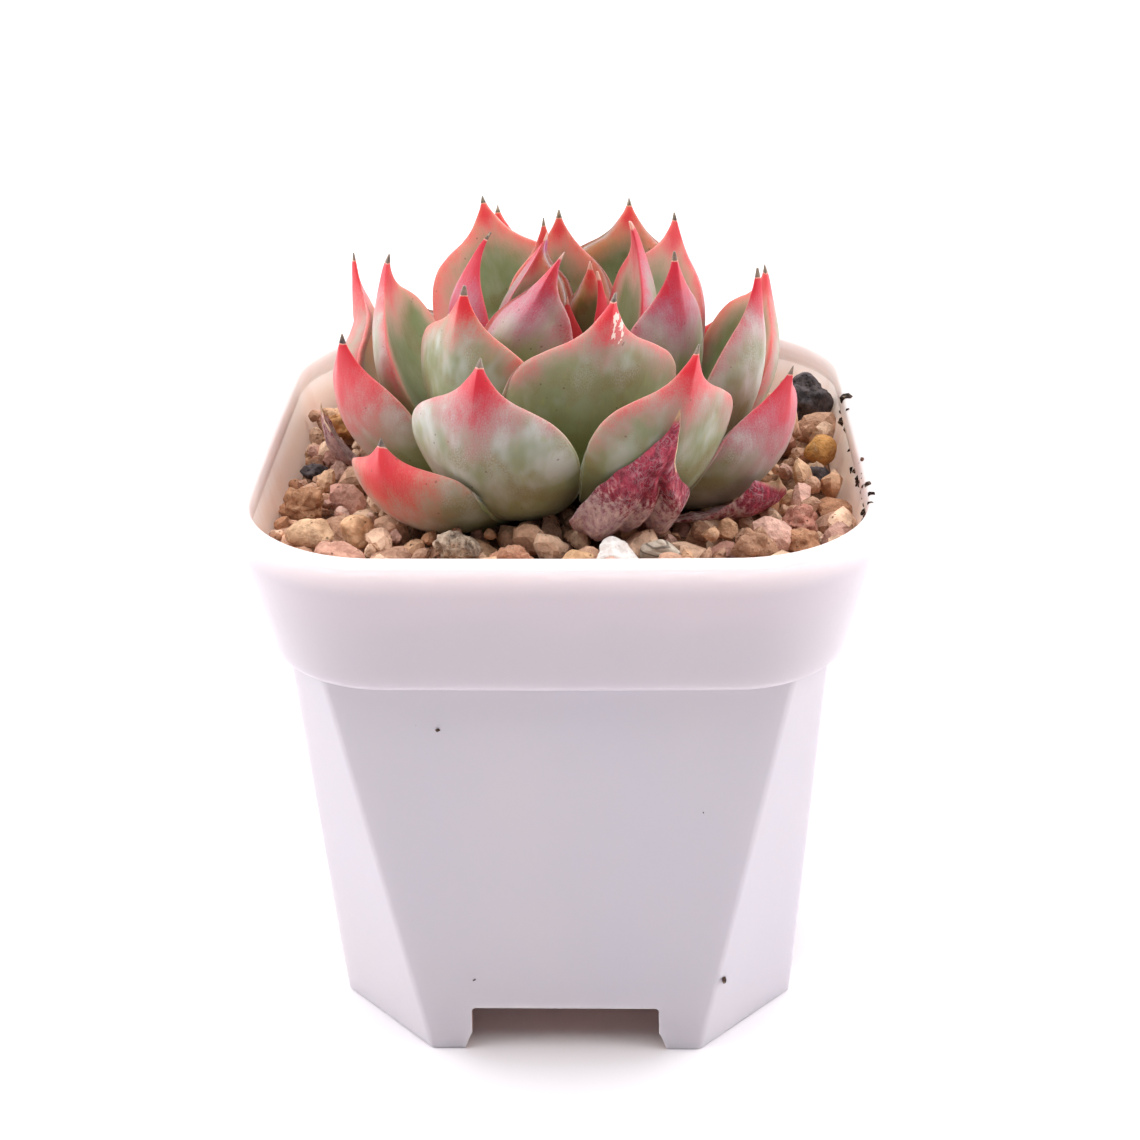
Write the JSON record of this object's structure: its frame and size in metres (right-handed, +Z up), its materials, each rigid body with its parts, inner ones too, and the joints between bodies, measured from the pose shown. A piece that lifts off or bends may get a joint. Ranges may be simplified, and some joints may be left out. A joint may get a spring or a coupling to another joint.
{
  "type": "potted succulent",
  "caption": "Rosette of thick pointed grey-green leaves with red tips, growing in tan grit in a small square white plastic pot on four corner feet.",
  "frame": {"origin": "middle of the pot's base, on the surface it stands on", "axes": "+Z up; the pot's sides lie along X and Y, and its front faces -Y"},
  "size_m": [0.075, 0.075, 0.0965],
  "materials": {
    "white_plastic": "smooth, slightly translucent moulded plastic",
    "grit": "loose dry broken grit",
    "stem": "dull, woody",
    "leaf": "waxy bloom over fleshy green, red at the tip",
    "withered_leaf": "dry, wrinkled, purple-red",
    "tan_stone": "matt, broken, porous",
    "lava": "rough, pitted",
    "perlite": "chalky white",
    "grey_stone": "matt with fine grooves",
    "charcoal": "dull black"
  },
  "bodies": {
    "root": {"pot": "white_plastic", "grit_bed": "grit", "stem": "stem", "heart_spike": "leaf", "heart_left": "leaf", "heart_right": "leaf", "heart_back": "leaf", "inner_left": "leaf", "inner_left_front": "leaf", "inner_front": "leaf", "inner_right": "leaf", "inner_back": "leaf", "middle_right": "leaf", "middle_left": "leaf", "middle_front": "leaf", "side_left": "leaf", "middle_back": "leaf", "middle_back_right": "leaf", "side_right": "leaf", "side_right_back": "leaf", "broad_back_left": "leaf", "broad_back_right": "leaf", "broad_front_left": "leaf", "broad_front_right": "leaf", "side_left_outer": "leaf", "side_left_back": "leaf", "low_front_left": "leaf", "low_right": "leaf", "outer_back_left": "leaf", "low_back_right": "leaf", "low_back_left": "leaf", "withered_front": "withered_leaf", "withered_right": "withered_leaf", "withered_left": "withered_leaf", "lava_pebble": "lava", "perlite_lump": "perlite", "striped_stone": "grey_stone", "charcoal_stone": "charcoal", "bark_chip": "charcoal", "dark_chip": "charcoal", "pink_stone": "tan_stone", "buff_stone_left": "tan_stone", "buff_stone_front": "tan_stone", "tan_stone_left": "tan_stone", "porous_stone": "tan_stone", "slanted_chip": "tan_stone", "tan_stone_right": "tan_stone", "brown_stone_right": "tan_stone", "rose_stone": "tan_stone", "orange_stone": "tan_stone", "ochre_stone_left": "tan_stone"}
  },
  "joints": []
}
